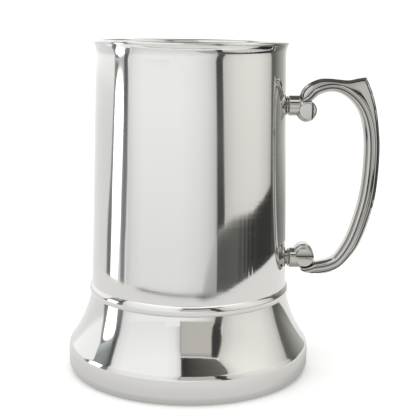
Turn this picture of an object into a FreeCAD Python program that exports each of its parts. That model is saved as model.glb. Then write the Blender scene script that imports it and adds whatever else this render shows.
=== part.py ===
import FreeCAD, Part
import math
import os

import Sketcher
from FreeCAD import Placement, Rotation, Vector

# A double-walled tankard. Outer barrel, waist ring, bell skirt and foot pan make the outside, a
# liner cup with a rolled lip makes the inside, and a cast handle is screwed on through turned
# collars. +Z is up, the origin is the centre of the flat foot, and the handle points along +X.
# Everything is in millimetres.

DRIVING = {
    # mouth and barrel
    "lip_radius": 44.0,
    "lip_height": 151.0,
    "lip_bead_radius": 1.0,
    "flare_start_height": 146.0,
    "flare_end_height": 150.3,
    "flare_end_radius": 43.72,
    "flare_curve": 10.6,
    "barrel_top_radius": 42.8,
    "barrel_bottom_radius": 45.36,
    "seam_height": 38.7,
    "shell_wall": 0.7,
    # waist ring
    "ring_top_height": 41.05,
    "ring_top_radius": 45.31,
    "ring_bottom_height": 36.3,
    "ring_bottom_radius": 45.83,
    "ring_curve": 3.8,
    # bell skirt
    "flare_to_shoulder_curve": 57.5,
    "shoulder_radius": 55.3,
    "shoulder_height": 13.75,
    "shoulder_inner_radius": 54.65,
    "shoulder_inner_height": 13.29,
    "shoulder_curve": 3.8,
    "crease_radius": 55.85,
    "crease_height": 12.6,
    # foot pan
    "crease_step": 0.06,
    "foot_radius": 56.2,
    "foot_band_top": 10.6,
    "foot_top_curve": 5.2,
    "foot_band_curve": 60.0,
    "foot_corner": 4.2,
    "groove_inner_radius": 37.0,
    "groove_outer_radius": 40.5,
    "groove_slope": 0.5,
    "groove_depth": 1.2,
    # liner
    "liner_wall": 0.6,
    "liner_top_radius": 40.1,
    "liner_bottom_radius": 39.6,
    "liner_neck_height": 144.0,
    "liner_floor_height": 23.0,
    "liner_corner": 8.0,
    # collars, neck rings, screws and wall plates
    "upper_axis_height": 123.4,
    "lower_axis_height": 52.3,
    "upper_collar_face": 49.7,
    "lower_collar_face": 51.85,
    "collar_radius": 4.75,
    "collar_length": 5.25,
    "collar_edge": 0.6,
    "neck_ring_radius": 3.7,
    "seat_start": 38.0,
    "seat_reach": 12.0,
    "upper_head_face": 41.8,
    "lower_head_face": 43.5,
    "screw_radius": 2.0,
    "screw_clearance": 0.05,
    "screw_bite": 5.2,
    "screw_head_radius": 3.4,
    "screw_head_thickness": 1.2,
    "screw_socket_radius": 1.4,
    "screw_socket_depth": 0.7,
    "wall_plate_radius": 6.5,
    "wall_plate_thickness": 0.6,
    # handle
    "web_thickness": 5.4,
    "scroll_thickness": 9.5,
    "rib_width": 4.4,
    "rib_thickness": 8.2,
    "upper_scroll_low": 117.7,
    "upper_scroll_high": 128.1,
    "upper_scroll_radius": 4.38,
    "upper_scroll_top_across": 54.5,
    "upper_scroll_top_height": 124.94,
    "upper_scroll_foot_across": 53.1,
    "upper_scroll_foot_height": 116.3,
    "lower_scroll_low": 47.3,
    "lower_scroll_high": 58.0,
    "lower_scroll_radius": 5.2,
    "lower_scroll_foot_across": 57.2,
    "lower_scroll_foot_height": 49.2,
}

# The handle's free curves as (across, height) points that a smooth spline passes through.
UPPER_EDGE = [(49.7, 129.0), (51.8, 132.2), (55.2, 134.6), (59.9, 135.95), (66.0, 135.5),
              (71.0, 135.2), (75.2, 135.9), (79.1, 136.7)]
BACK_EDGE = [(79.6, 136.4), (83.6, 126.6), (86.2, 113.4), (87.05, 100.0), (86.2, 86.0),
             (82.8, 69.3), (76.2, 54.6), (69.0, 46.8), (61.2, 44.6), (51.85, 47.0)]
INNER_EDGE = [(58.6, 50.9), (65.0, 52.1), (71.3, 59.2), (76.8, 74.6), (79.5, 90.0), (79.75, 104.5),
              (76.9, 120.2), (71.2, 127.4), (64.4, 129.85), (58.2, 128.2), (55.6, 125.7)]
RIB_PATH = [(56.0, 48.9), (63.4, 49.0), (71.9, 55.8), (78.9, 74.1), (82.05, 98.0), (81.1, 113.2),
            (78.7, 121.8), (72.6, 129.0), (64.4, 132.0), (58.0, 130.5), (54.4, 126.6), (53.6, 123.0)]

document = FreeCAD.newDocument("Tankard")
sheet = document.addObject("Spreadsheet::Sheet", "Dimensions")
for row, (alias, value) in enumerate(DRIVING.items(), start=1):
    sheet.set(f"A{row}", alias)
    sheet.set(f"B{row}", str(value))
    sheet.setAlias(f"B{row}", alias)
document.recompute()


def size(expression):
    """Value of a sum or difference written with the sheet's aliases."""
    total, sign = 0.0, 1.0
    for word in expression.split():
        if word in "+-":
            sign = 1.0 if word == "+" else -1.0
            continue
        total += sign * (sheet.get(word) if word in DRIVING else float(word))
    return total


def bound(expression):
    """The same expression on the sheet's cells, in millimetres."""
    words = [f"Dimensions.{word}" if word in DRIVING else word for word in expression.split()]
    return "(" + " ".join(words) + ") * 1 mm"


def bind(feature, name, expression):
    """Bind one size of a feature to the sheet."""
    feature.setExpression(name, bound(expression))


def origin_item(body, role):
    """The body's own origin plane or axis with this role."""
    return next(item for item in body.Origin.OriginFeatures if item.Role == role)


def new_body(label):
    """An empty body whose label names its file."""
    body = document.addObject("PartDesign::Body", label)
    body.Label = label
    return body


def new_sketch(body, name, role="XZ_Plane"):
    """A sketch on one of the body's origin planes."""
    sketch = body.newObject("Sketcher::SketchObject", name)
    sketch.AttachmentSupport = (origin_item(body, role), [""])
    sketch.MapMode = "FlatFace"
    return sketch


def arc_between(start, end, radius, turn):
    """Short arc between two points, and whether it runs from start to end.

    turn is 1 when its centre lies on the left of the way from start to end and -1 on the right.
    A sketch wants its arcs anticlockwise, so one with its centre on the right is built backwards.
    """
    chord = end - start
    left = Vector(-chord.y, chord.x, 0).normalize()
    reach = math.sqrt(max(radius**2 - (chord.Length / 2) ** 2, 0.0))
    centre = (start + end) * 0.5 + left * (turn * reach)
    first, last = (start, end) if turn > 0 else (end, start)
    angles = [math.atan2(point.y - centre.y, point.x - centre.x) for point in (first, last)]
    circle = Part.Circle(centre, Vector(0, 0, 1), radius)
    return Part.ArcOfCircle(circle, angles[0], angles[1]), turn > 0


def pin_point(sketch, geometry, place, across, up):
    """Fix one end of a segment at two sheet expressions, or on an axis where one is zero."""
    for kind, axis, expression in (("DistanceX", -2, across), ("DistanceY", -1, up)):
        value = size(expression)
        if abs(value) < 1e-9:
            sketch.addConstraint(Sketcher.Constraint("PointOnObject", geometry, place, axis))
            continue
        index = sketch.addConstraint(Sketcher.Constraint(kind, -1, 1, geometry, place, value))
        sketch.setExpression(f"Constraints[{index}]", bound(expression))


def closed_profile(sketch, corners):
    """Closed outline of (x, y) corners; (x, y, radius, turn) is a corner that an arc leads to."""
    points = [Vector(size(corner[0]), size(corner[1]), 0) for corner in corners]
    count = len(corners)
    ends = []
    for number in range(count):
        following = (number + 1) % count
        target = corners[following]
        if len(target) == 2:
            sketch.addGeometry(Part.LineSegment(points[number], points[following]), False)
            ends.append((1, 2))
            continue
        curve, forward = arc_between(points[number], points[following], size(target[2]), target[3])
        geometry = sketch.addGeometry(curve, False)
        index = sketch.addConstraint(Sketcher.Constraint("Radius", geometry, size(target[2])))
        sketch.setExpression(f"Constraints[{index}]", bound(target[2]))
        ends.append((1, 2) if forward else (2, 1))
    for number in range(count):
        before = (number - 1) % count
        start = ends[number][0]
        sketch.addConstraint(Sketcher.Constraint("Coincident", before, ends[before][1], number, start))
        pin_point(sketch, number, start, corners[number][0], corners[number][1])


def turned_body(label, corners):
    """A body made by turning a closed (radius, height) profile once round Z."""
    body = new_body(label)
    sketch = new_sketch(body, label + "_profile")
    closed_profile(sketch, corners)
    document.recompute()
    turning = body.newObject("PartDesign::Revolution", label + "_turning")
    turning.Profile = sketch
    turning.ReferenceAxis = (origin_item(body, "Z_Axis"), [""])
    turning.Angle = 360.0
    document.recompute()
    return body


# Outer barrel: tapered tube with a flared mouth, standing on the skirt at the seam.
turned_body("outer_barrel", [
    ("barrel_bottom_radius", "seam_height"),
    ("barrel_top_radius", "flare_start_height"),
    ("flare_end_radius", "flare_end_height", "flare_curve", -1),
    ("flare_end_radius - shell_wall", "flare_end_height"),
    ("barrel_top_radius - shell_wall", "flare_start_height", "flare_curve + shell_wall", 1),
    ("barrel_bottom_radius - shell_wall", "seam_height"),
])

# Inner cup: straight liner whose rim leans out to the mouth and ends in a solid half-round lip.
turned_body("inner_cup", [
    ("flare_end_radius", "flare_end_height"),
    ("lip_radius", "lip_height"),
    ("lip_radius - lip_bead_radius", "lip_height + lip_bead_radius", "lip_bead_radius", 1),
    ("lip_radius - lip_bead_radius - lip_bead_radius", "lip_height", "lip_bead_radius", 1),
    ("liner_top_radius - liner_wall", "liner_neck_height"),
    ("liner_bottom_radius - liner_wall", "liner_floor_height + liner_wall + liner_corner"),
    ("liner_bottom_radius - liner_wall - liner_corner", "liner_floor_height + liner_wall",
     "liner_corner", -1),
    ("0", "liner_floor_height + liner_wall"),
    ("0", "liner_floor_height"),
    ("liner_bottom_radius - liner_wall - liner_corner", "liner_floor_height"),
    ("liner_bottom_radius", "liner_floor_height + liner_wall + liner_corner",
     "liner_corner + liner_wall", 1),
    ("liner_top_radius", "liner_neck_height"),
    ("flare_end_radius - shell_wall", "flare_end_height"),
])

# Waist ring: half-round band over the seam, with a crisp edge above and below.
turned_body("waist_ring", [
    ("ring_bottom_radius", "ring_bottom_height"),
    ("ring_top_radius", "ring_top_height", "ring_curve", 1),
    ("barrel_bottom_radius", "seam_height"),
])

# Bell skirt: one long trumpet curve, then a tight shoulder down to the crease.
turned_body("bell_skirt", [
    ("barrel_bottom_radius", "seam_height"),
    ("shoulder_radius", "shoulder_height", "flare_to_shoulder_curve", 1),
    ("crease_radius", "crease_height", "shoulder_curve", -1),
    ("crease_radius - shell_wall", "crease_height"),
    ("shoulder_inner_radius", "shoulder_inner_height", "shoulder_curve - shell_wall", 1),
    ("barrel_bottom_radius - shell_wall", "seam_height", "flare_to_shoulder_curve + shell_wall", -1),
])

# Foot pan: low band, rounded corner and a flat bottom with a pressed stiffening groove.
turned_body("foot_pan", [
    ("crease_radius - crease_step", "crease_height"),
    ("foot_radius", "foot_band_top", "foot_top_curve", -1),
    ("foot_radius", "foot_corner", "foot_band_curve", -1),
    ("foot_radius - foot_corner", "0", "foot_corner", -1),
    ("groove_outer_radius", "0"),
    ("groove_outer_radius - groove_slope", "groove_depth"),
    ("groove_inner_radius + groove_slope", "groove_depth"),
    ("groove_inner_radius", "0"),
    ("0", "0"),
    ("0", "shell_wall"),
    ("groove_inner_radius - groove_slope", "shell_wall"),
    ("groove_inner_radius", "groove_depth + shell_wall"),
    ("groove_outer_radius", "groove_depth + shell_wall"),
    ("groove_outer_radius + groove_slope", "shell_wall"),
    ("foot_radius - foot_corner", "shell_wall"),
    ("foot_radius - shell_wall", "foot_corner", "foot_corner - shell_wall", 1),
    ("foot_radius - shell_wall", "foot_band_top"),
    ("crease_radius - crease_step - shell_wall", "crease_height"),
])


def place_along_x(feature, height, start):
    """Lay a feature that was built up its own Z along +X, from start, at this height."""
    feature.Placement = Placement(Vector(0, 0, 0), Rotation(Vector(0, 1, 0), 90))
    bind(feature, "Placement.Base.x", start)
    bind(feature, "Placement.Base.z", height)


def rod_along_x(name, radius, length, height, start):
    """Plain cylinder along +X."""
    rod = document.addObject("Part::Cylinder", name)
    bind(rod, "Radius", radius)
    bind(rod, "Height", length)
    place_along_x(rod, height, start)
    return rod


def barrel_cone(name, inset):
    """Solid cone of the barrel's outer taper, taken in by inset."""
    cone = document.addObject("Part::Cone", name)
    bind(cone, "Radius1", "barrel_bottom_radius - " + inset)
    bind(cone, "Radius2", "barrel_top_radius - " + inset)
    bind(cone, "Height", "flare_start_height - seam_height")
    bind(cone, "Placement.Base.z", "seam_height")
    return cone


def combined(kind, label, base, tool):
    """Part::Cut, Part::Fuse or Part::Common of two objects."""
    feature = document.addObject(kind, label)
    feature.Base = base
    feature.Tool = tool
    feature.Label = label
    return feature


def drilled(label, solid, height, start, length):
    """The solid with the screw's clearance hole through it."""
    drill = rod_along_x(label + "_drill", "screw_radius + screw_clearance", length, height, start)
    return combined("Part::Cut", label, solid, drill)


def turned_collar(side, height, start):
    """Short barrel with rounded edges."""
    blank = rod_along_x(side + "_collar_blank", "collar_radius", "collar_length", height, start)
    document.recompute()
    rounded = document.addObject("Part::Fillet", side + "_collar_rounded")
    rounded.Base = blank
    edge_round = size("collar_edge")
    rounded.Edges = [(number, edge_round, edge_round)
                     for number, edge in enumerate(blank.Shape.Edges, start=1)
                     if isinstance(edge.Curve, Part.Circle)]
    return drilled(side + "_collar", rounded, height, start, "collar_length")


def neck_ring(side, height, collar_start):
    """Ring between collar and barrel, saddled to the barrel's wall."""
    rod = rod_along_x(side + "_ring_rod", "neck_ring_radius", collar_start + " - seat_start",
                      height, "seat_start")
    saddled = combined("Part::Cut", side + "_ring_saddled", rod, barrel_cone(side + "_ring_seat", "0"))
    return drilled(side + "_neck_ring", saddled, height, "seat_start", "seat_reach")


def wall_plate(side, height):
    """Curved washer that lies against the inside of the outer wall."""
    rod = rod_along_x(side + "_plate_rod", "wall_plate_radius", "seat_reach", height, "seat_start")
    outside = barrel_cone(side + "_plate_outside", "shell_wall")
    inside = barrel_cone(side + "_plate_inside", "shell_wall - wall_plate_thickness")
    shell = combined("Part::Cut", side + "_plate_shell", outside, inside)
    disc = combined("Part::Common", side + "_plate_disc", shell, rod)
    return drilled(side + "_wall_plate", disc, height, "seat_start", "seat_reach")


def socket_screw(side, height, head_face, tip):
    """Low-head screw that points along +X, with a hexagon socket in its head."""
    head_start = head_face + " - screw_head_thickness"
    head = rod_along_x(side + "_screw_head", "screw_head_radius", "screw_head_thickness",
                       height, head_start)
    shank = rod_along_x(side + "_screw_shank", "screw_radius", tip + " - " + head_face,
                        height, head_face)
    socket = document.addObject("Part::Prism", side + "_screw_socket")
    socket.Polygon = 6
    bind(socket, "Circumradius", "screw_socket_radius")
    bind(socket, "Height", "screw_socket_depth")
    place_along_x(socket, height, head_start)
    blank = combined("Part::Fuse", side + "_screw_blank", head, shank)
    return combined("Part::Cut", side + "_screw", blank, socket)


# Collars, neck rings, wall plates and screws: one set on each of the handle's two axes along X.
SIDES = ("upper", "lower")
for side in SIDES:
    axis_height = side + "_axis_height"
    collar_start = side + "_collar_face - collar_length"
    turned_collar(side, axis_height, collar_start)
    neck_ring(side, axis_height, collar_start)
    wall_plate(side, axis_height)
    socket_screw(side, axis_height, side + "_head_face", side + "_collar_face + screw_bite")


def screw_hole(body, side, radius, start, length):
    """Round pocket along +X from a plane at start, on this screw's axis."""
    sketch = new_sketch(body, side + "_hole_place", "YZ_Plane")
    sketch.AttachmentOffset = Placement(Vector(0, 0, size(start)), Rotation())
    bind(sketch, "AttachmentOffset.Base.z", start)
    centre = Vector(0, size(side + "_axis_height"), 0)
    circle = sketch.addGeometry(Part.Circle(centre, Vector(0, 0, 1), size(radius)), False)
    pin_point(sketch, circle, 3, "0", side + "_axis_height")
    index = sketch.addConstraint(Sketcher.Constraint("Radius", circle, size(radius)))
    sketch.setExpression(f"Constraints[{index}]", bound(radius))
    document.recompute()
    volume_before = body.Shape.Volume
    pocket = body.newObject("PartDesign::Pocket", side + "_screw_hole")
    pocket.Profile = sketch
    pocket.Reversed = True
    bind(pocket, "Length", length)
    document.recompute()
    if body.Shape.Volume > volume_before - 1.0:
        raise RuntimeError(f"{side} screw hole cut nothing from {body.Label}")


for side in SIDES:
    screw_hole(document.getObject("outer_barrel"), side, "screw_radius + screw_clearance",
               "seat_start", "seat_reach")


def smooth_curve(points):
    """Spline through (across, height) points."""
    curve = Part.BSplineCurve()
    curve.interpolate([Vector(across, up, 0) for across, up in points])
    return curve


def locked(sketch, curve):
    """Add a free curve to a sketch and lock it where it is."""
    geometry = sketch.addGeometry(curve, False)
    sketch.addConstraint(Sketcher.Constraint("Block", geometry))


def symmetric_pad(body, name, sketch, thickness):
    """Pad half to each side of the sketch's plane."""
    pad = body.newObject("PartDesign::Pad", name)
    pad.Profile = sketch
    pad.SideType = "Symmetric"
    bind(pad, "Length", thickness)
    document.recompute()
    return pad


handle = new_body("handle")

# Web: a flat plate whose outer edge rises to the thumb spur and whose inner edge rings the grip.
web_outline = new_sketch(handle, "web_outline")
upper_seat = (size("upper_collar_face"), size("upper_scroll_low") + size("collar_edge"))
lower_seat = (size("lower_collar_face"), size("lower_axis_height"))
for points in (UPPER_EDGE, BACK_EDGE, INNER_EDGE):
    locked(web_outline, smooth_curve(points))
for start, end in ((UPPER_EDGE[-1], BACK_EDGE[0]), (BACK_EDGE[-1], lower_seat),
                   (lower_seat, INNER_EDGE[0]), (INNER_EDGE[-1], upper_seat),
                   (upper_seat, UPPER_EDGE[0])):
    locked(web_outline, Part.LineSegment(Vector(*start, 0), Vector(*end, 0)))
document.recompute()
symmetric_pad(handle, "web", web_outline, "web_thickness")

# Rib: an oval bar that follows the inner edge from one scroll to the other.
rib_path = new_sketch(handle, "rib_path")
locked(rib_path, smooth_curve(RIB_PATH))
rib_section = new_sketch(handle, "rib_section", "YZ_Plane")
rib_start = Vector(0, RIB_PATH[0][1], 0)
rib_section.AttachmentOffset = Placement(Vector(0, 0, RIB_PATH[0][0]), Rotation())
oval = Part.Ellipse(rib_start + Vector(size("rib_thickness") / 2, 0, 0),
                    rib_start + Vector(0, size("rib_width") / 2, 0), rib_start)
locked(rib_section, oval)
document.recompute()
rib = handle.newObject("PartDesign::AdditivePipe", "rib")
rib.Profile = rib_section
rib.Spine = (rib_path, ["Edge1"])
document.recompute()

# Scroll ends: thick cheeks that the collars butt against, rounded away from the body.
upper_scroll = new_sketch(handle, "upper_scroll_outline")
closed_profile(upper_scroll, [
    ("upper_collar_face", "upper_scroll_low"),
    ("upper_collar_face", "upper_scroll_high"),
    ("upper_scroll_top_across", "upper_scroll_top_height"),
    ("upper_scroll_foot_across", "upper_scroll_foot_height", "upper_scroll_radius", -1),
])
document.recompute()
symmetric_pad(handle, "upper_scroll", upper_scroll, "scroll_thickness")
lower_scroll = new_sketch(handle, "lower_scroll_outline")
closed_profile(lower_scroll, [
    ("lower_collar_face", "lower_scroll_low"),
    ("lower_collar_face", "lower_scroll_high"),
    ("lower_scroll_foot_across", "lower_scroll_foot_height", "lower_scroll_radius", -1),
])
document.recompute()
symmetric_pad(handle, "lower_scroll", lower_scroll, "scroll_thickness")

for side in SIDES:
    screw_hole(handle, side, "screw_radius", side + "_collar_face", "screw_bite + screw_clearance")

# Every feature has to have built, and every piece has to be one closed solid, before it is written.
NODES = ["outer_barrel", "inner_cup", "waist_ring", "bell_skirt", "foot_pan", "handle"]
NODES += [side + piece for side in SIDES
          for piece in ("_collar", "_neck_ring", "_wall_plate", "_screw")]
failed = [item.Name for item in document.Objects if {"Invalid", "Error"} & set(item.State)]
if failed:
    raise RuntimeError(f"failed features: {failed}")
os.makedirs("parts", exist_ok=True)
for label in NODES:
    shape = document.getObject(label).Shape
    if shape.isNull() or not shape.isValid() or len(shape.Solids) != 1:
        raise RuntimeError(f"{label} is not one valid solid")
    shape.exportStep(f"parts/{label}.step")
    print(f"{label}: {shape.Volume:.0f} mm3")
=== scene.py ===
import math

import bmesh
import bpy
from mathutils import Matrix, Vector


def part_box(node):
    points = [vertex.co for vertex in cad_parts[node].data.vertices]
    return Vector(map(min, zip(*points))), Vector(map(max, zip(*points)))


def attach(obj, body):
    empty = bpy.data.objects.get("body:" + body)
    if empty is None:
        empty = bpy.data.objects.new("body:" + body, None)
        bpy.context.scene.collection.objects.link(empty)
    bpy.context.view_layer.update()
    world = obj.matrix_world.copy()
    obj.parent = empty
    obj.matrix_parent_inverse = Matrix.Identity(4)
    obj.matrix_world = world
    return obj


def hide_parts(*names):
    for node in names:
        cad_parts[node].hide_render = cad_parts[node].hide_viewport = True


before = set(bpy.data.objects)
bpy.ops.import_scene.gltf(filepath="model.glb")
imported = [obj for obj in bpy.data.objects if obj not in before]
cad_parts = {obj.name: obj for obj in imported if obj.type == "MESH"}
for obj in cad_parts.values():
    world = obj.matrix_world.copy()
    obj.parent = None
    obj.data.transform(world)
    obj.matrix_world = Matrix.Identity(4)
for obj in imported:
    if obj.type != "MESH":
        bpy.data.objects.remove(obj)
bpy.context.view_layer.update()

# Polished metal tankard on a pale table, lit by soft diffusers. Sizes are in millimetres until
# a mesh is made, and then in metres. The distances of the light cards are in metres throughout.
scene = bpy.context.scene
mm = 0.001
polishReturn = 0.70     # share of the light that the polished metal sends back
print("frame loaded:", len(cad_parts), "nodes")

cameraSettings = {"place": (1.58, -439.0, 158.8), "turn": 1.02, "tilt": 10.89, "roll": 0.83,
                  "lens": 82.33, "sensor": 36.0}


def placeCamera(given):
    turn, tilt, roll = (math.radians(given[key]) for key in ("turn", "tilt", "roll"))
    ahead = Vector((math.sin(turn) * math.cos(tilt), math.cos(turn) * math.cos(tilt), -math.sin(tilt)))
    side = Vector((math.cos(turn), -math.sin(turn), 0))
    above = side.cross(ahead)
    right = side * math.cos(roll) + above * math.sin(roll)
    up = above * math.cos(roll) - side * math.sin(roll)
    data = bpy.data.cameras.new("studioCamera")
    data.lens, data.sensor_width = given["lens"], given["sensor"]
    data.clip_start, data.clip_end = 0.01, 50
    camera = bpy.data.objects.new("studioCamera", data)
    scene.collection.objects.link(camera)
    camera.matrix_world = Matrix((right, up, -ahead)).transposed().to_4x4()
    camera.location = Vector(given["place"]) * mm
    scene.camera = camera


placeCamera(cameraSettings)
scene.view_settings.view_transform = "Standard"


def newMaterial(name):
    material = bpy.data.materials.new(name)
    material.use_nodes = True
    material.node_tree.nodes.clear()
    return material, material.node_tree.nodes, material.node_tree.links


def rampNode(nodes, stops):
    ramp = nodes.new("ShaderNodeValToRGB").color_ramp
    ramp.interpolation = "LINEAR"
    while len(ramp.elements) > 1:
        ramp.elements.remove(ramp.elements[-1])
    ramp.elements[0].position = stops[0][0]
    ramp.elements[0].color = (stops[0][1],) * 3 + (1,)
    for position, level in stops[1:]:
        ramp.elements.new(position).color = (level,) * 3 + (1,)
    return nodes[-1]


def lightFor(grey):
    # turns the brightness at which the polished metal shows a card, 0 to 255, into the card's light
    offset, gamma = 0.055, 2.4
    return ((grey / 255 + offset) / (1 + offset)) ** gamma / polishReturn


def glowCard(name, grid, across, up, tint):
    # grid: rows of (azimuth, height mm, distance m, share across, share up); only reflections see it
    mesh = bmesh.new()
    layer = mesh.loops.layers.uv.new("card")
    lines = []
    for row in grid:
        line = []
        for azimuth, height, radius, share, rise in row:
            turn = math.radians(azimuth)
            place = Vector((math.sin(turn) * radius, -math.cos(turn) * radius, height * mm))
            line.append((mesh.verts.new(place), (share, rise)))
        lines.append(line)
    for lower, upper in zip(lines, lines[1:]):
        for column in range(len(lower) - 1):
            corners = (lower[column], lower[column + 1], upper[column + 1], upper[column])
            face = mesh.faces.new([corner[0] for corner in corners])
            for loop, corner in zip(face.loops, corners):
                loop[layer].uv = corner[1]
    data = bpy.data.meshes.new(name)
    mesh.to_mesh(data)
    mesh.free()
    card = bpy.data.objects.new(name, data)
    scene.collection.objects.link(card)
    material, nodes, links = newMaterial(name + "Glow")
    place = nodes.new("ShaderNodeUVMap")
    place.uv_map = "card"
    split = nodes.new("ShaderNodeSeparateXYZ")
    links.new(place.outputs["UV"], split.inputs[0])
    sideways = rampNode(nodes, [(s, lightFor(g) / cardScale) for s, g in across])
    upward = rampNode(nodes, [(s, g / cardScale) for s, g in up])
    links.new(split.outputs["X"], sideways.inputs["Fac"])
    links.new(split.outputs["Y"], upward.inputs["Fac"])
    product = nodes.new("ShaderNodeMath")
    product.operation = "MULTIPLY"
    links.new(sideways.outputs["Color"], product.inputs[0])
    links.new(upward.outputs["Color"], product.inputs[1])
    strength = nodes.new("ShaderNodeMath")
    strength.operation = "MULTIPLY"
    strength.inputs[1].default_value = cardScale ** 2
    links.new(product.outputs[0], strength.inputs[0])
    glow = nodes.new("ShaderNodeEmission")
    glow.inputs["Color"].default_value = tint + (1,)
    links.new(strength.outputs[0], glow.inputs["Strength"])
    output = nodes.new("ShaderNodeOutputMaterial")
    links.new(glow.outputs[0], output.inputs["Surface"])
    data.materials.append(material)
    card.visible_camera = card.visible_diffuse = False
    card.visible_shadow = card.visible_transmission = False


def studioCard(name, rows, across, up, tint=(1, 1, 1), radius=1.0, columns=24):
    # rows: (height mm, left azimuth, right azimuth) from the bottom up; azimuth 0 is on the camera's side
    bottom, top = rows[0][0], rows[-1][0]
    grid = [[(left + (right - left) * k / columns, height, radius, k / columns,
              (height - bottom) / (top - bottom))
             for k in range(columns + 1)] for height, left, right in rows]
    glowCard(name, grid, across, up, tint)


def outlineCard(name, outline, across, up, tint=(1, 1, 1), radius=1.0, levels=8):
    # outline: (azimuth, lowest mm, highest mm) from left to right
    first, last = outline[0][0], outline[-1][0]
    grid = [[(azimuth, low + (high - low) * k / levels, radius, (azimuth - first) / (last - first),
              k / levels)
             for azimuth, low, high in outline] for k in range(levels + 1)]
    glowCard(name, grid, across, up, tint)


def valueAt(table, where):
    for (x0, y0), (x1, y1) in zip(table, table[1:]):
        if where <= x1:
            return y0 + (y1 - y0) * (where - x0) / (x1 - x0)
    return table[-1][1]


def flatCard(name, height, edge, across, tint=(1, 1, 1), columns=120):
    # level disc: edge gives its radius in mm by azimuth, and across runs from the middle outwards
    rows = []
    for share in (0.0, 0.25, 0.5, 0.75, 0.9, 1.0):
        row = []
        for k in range(columns + 1):
            azimuth = -180 + 360 * k / columns
            row.append((azimuth, height, valueAt(edge, azimuth) * mm * share, share, 0.5))
        rows.append(row)
    glowCard(name, rows, across, even, tint)


cardScale = 12.0        # keeps the ramps' stops between 0 and 1
even = [(0, 1), (1, 1)]
near = 0.45             # the narrow light on the left and its flags stand closer than the rest
far = 1.9               # the grey screen hangs behind the camera
coolTint = (0.97, 0.99, 1.0)
shadeTint = (0.93, 0.985, 1.0)
studioCard("frontDiffuser",
           [(-450, -82, 32), (-250, -76, 32), (-100, -74.5, 33), (0, -74, 33), (100, -76, 32),
            (150, -76.5, 31)],
           [(0, 205), (0.06, 220), (0.18, 229), (0.6, 229), (0.78, 221), (0.88, 211), (0.96, 188),
            (1.0, 110)],
           [(0, 0.80), (0.3, 0.86), (0.53, 0.91), (0.74, 0.97), (0.9, 1.03), (1, 1.03)])
studioCard("upperDiffuser",
           [(150, -76.5, -9.5), (350, -78.8, -9.5), (450, -80.3, -9.5), (550, -82, -9), (650, -83, -8),
            (750, -87, -7.5), (850, -90, -7.5), (1150, -98, -7.5)],
           [(0, 205), (0.06, 220), (0.2, 229), (0.8, 229), (0.93, 222), (1.0, 196)],
           [(0, 0.95), (0.3, 1.03), (0.5, 1.07), (1, 1.07)])
studioCard("frontBridge", [(60, -14, 30), (258, -14, 30)],
           [(0, 234), (0.35, 229), (0.7, 214), (0.95, 190), (1, 120)], even, radius=far)
studioCard("greyScreen", [(258, -9.5, 28), (1290, -9, 28)],
           [(0, 150), (0.03, 164), (0.06, 176), (0.3, 179), (1.0, 180)],
           [(0, 0.96), (0.05, 1.0), (0.85, 1.02), (0.94, 0.8), (1, 0.5)], tint=(1.0, 0.965, 0.905),
           radius=far)
studioCard("cornerPatch", [(146, -24, -9), (215, -24, -9)], [(0, 232), (1, 229)], even, radius=0.99,
           columns=6)
studioCard("frontShade", [(-340, 3, 31), (-230, 9, 31), (-150, 17, 31), (-90, 27, 31)],
           [(0, 176), (0.3, 160), (1, 148)], [(0, 1), (0.6, 1), (1, 1.4)], radius=0.975, columns=12)
studioCard("darkGap", [(690, -8.5, 30), (730, -7.5, 34), (850, -7.5, 41), (1150, -7.5, 52)],
           [(0, 54), (0.1, 50), (0.2, 62), (0.35, 72), (0.7, 90), (1, 108)], even, tint=(1, 0.98, 0.88))
studioCard("rightDiffuser",
           [(-420, 37, 77), (-340, 37.5, 87), (-260, 38, 97), (-190, 38, 105), (-160, 38, 108), (0, 39, 108),
            (160, 37, 109), (350, 36, 109), (500, 34, 108), (640, 31, 104), (730, 34, 104), (850, 41, 104),
            (1150, 52, 110)],
           [(0, 186), (0.06, 198), (0.2, 214), (0.4, 221), (0.65, 221), (0.78, 212), (0.9, 200), (1, 172)],
           [(0, 0.78), (0.15, 0.84), (0.25, 0.93), (0.36, 1.0), (0.5, 1.02), (0.62, 1.08), (0.75, 1.12),
            (1, 1.1)],
           tint=(1.0, 0.975, 0.94))
studioCard("rightFlag",
           [(-450, 29.5, 38), (-260, 29.5, 38), (-150, 31.5, 38), (-60, 31, 40.5), (0, 30.3, 39.5),
            (60, 29.8, 38.5), (140, 28.5, 37), (230, 25.5, 35.5), (350, 24.5, 36), (450, 24.5, 35),
            (550, 24.5, 33.5), (660, 24.5, 31.5)],
           [(0, 120), (0.1, 58), (0.8, 58), (1.0, 110)],
           [(0, 0.7), (0.2, 0.8), (0.36, 1.5), (0.45, 2.0), (0.52, 1.6), (0.6, 0.95), (1, 0.95)],
           radius=0.98, tint=(1, 0.98, 0.93), columns=12)
outlineCard("lowBoard",
            [(32, -260, -82), (38, -250, -76), (44, -235, -71), (52, -205, -66), (58, -182, -67),
             (62.5, -164, -66), (63.5, -192, -68), (65, -162, -65), (66.2, -158, -68), (67.2, -204, -66),
             (68.6, -160, -68), (70, -182, -66), (71.2, -150, -67), (73, -158, -65), (75, -182, -67),
             (76.4, -146, -66), (79, -160, -64), (81, -172, -62), (83, -164, -61), (88, -166, -57),
             (94, -162, -53), (100, -160, -47), (110, -152, -36)],
            [(0, 84), (0.16, 84), (0.3, 88), (0.36, 72), (0.4, 86), (0.43, 58), (0.46, 80), (0.5, 50),
             (0.53, 66), (0.57, 46), (0.62, 58), (0.7, 50), (1, 55)],
            [(0, 2.0), (0.05, 1.0), (0.88, 1.0), (0.95, 1.8), (1.0, 4.0)], radius=0.97, tint=(1, 1.0, 0.93))
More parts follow.
